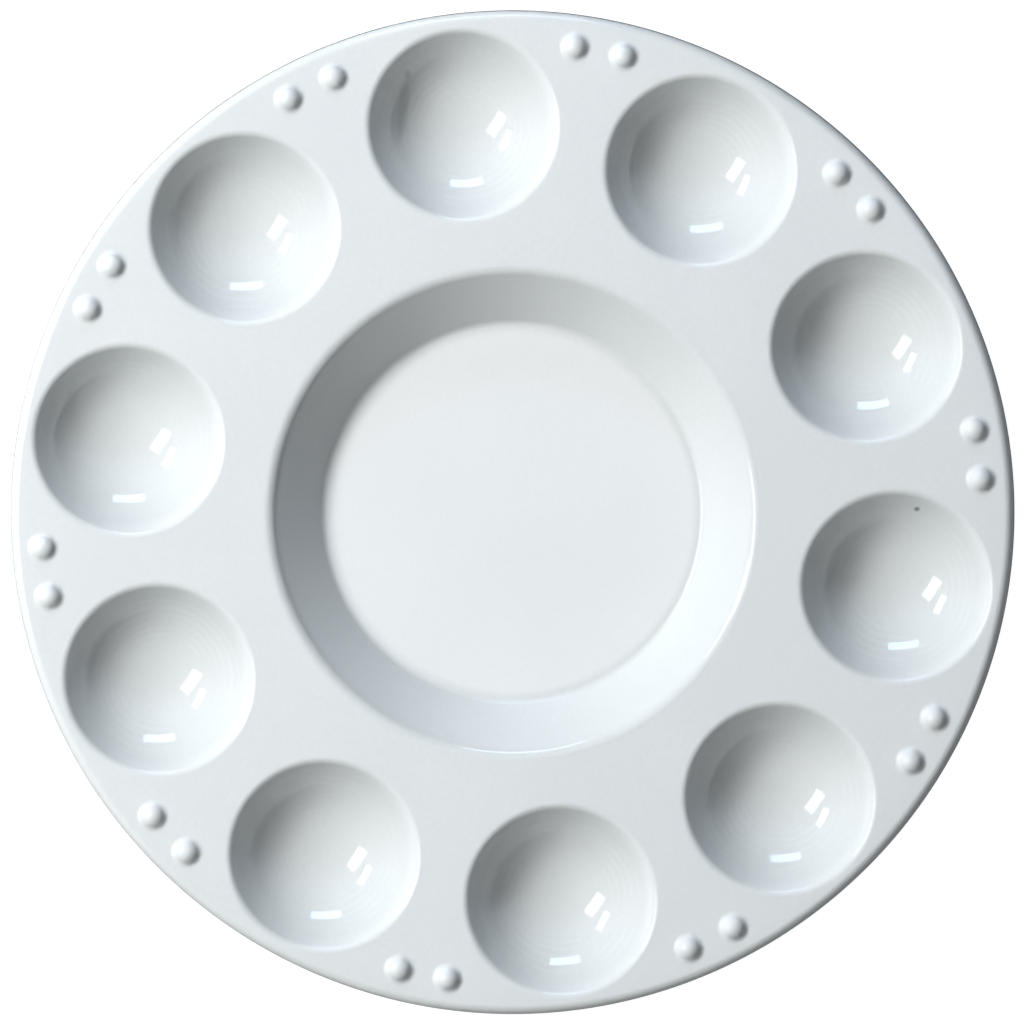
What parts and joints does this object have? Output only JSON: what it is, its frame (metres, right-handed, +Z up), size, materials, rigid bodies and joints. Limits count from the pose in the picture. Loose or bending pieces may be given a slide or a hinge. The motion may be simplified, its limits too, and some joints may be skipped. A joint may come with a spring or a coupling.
{
  "type": "mixing palette",
  "caption": "Round white moulded plastic paint palette: a ring of bowl-shaped paint wells round a wide flat-floored mixing pan, with small raised pips between the wells.",
  "frame": {"origin": "middle of the palette's underside, on the surface it rests on", "axes": "+Z up out of the wells; +Y towards paint_well_01"},
  "size_m": [0.17, 0.17, 0.0116],
  "materials": {
    "palette_plastic": "glossy injection-moulded white polystyrene"
  },
  "bodies": {
    "root": {"deck": "palette_plastic", "skirt": "palette_plastic", "pan_wall": "palette_plastic", "pan_floor": "palette_plastic", "paint_well_01": "palette_plastic", "paint_well_02": "palette_plastic", "paint_well_03": "palette_plastic", "paint_well_04": "palette_plastic", "paint_well_05": "palette_plastic", "paint_well_06": "palette_plastic", "paint_well_07": "palette_plastic", "paint_well_08": "palette_plastic", "paint_well_09": "palette_plastic", "paint_well_10": "palette_plastic", "pip_pair_01": "palette_plastic", "pip_pair_02": "palette_plastic", "pip_pair_03": "palette_plastic", "pip_pair_04": "palette_plastic", "pip_pair_05": "palette_plastic", "pip_pair_06": "palette_plastic", "pip_pair_07": "palette_plastic", "pip_pair_08": "palette_plastic", "pip_pair_09": "palette_plastic", "pip_pair_10": "palette_plastic"}
  },
  "joints": []
}
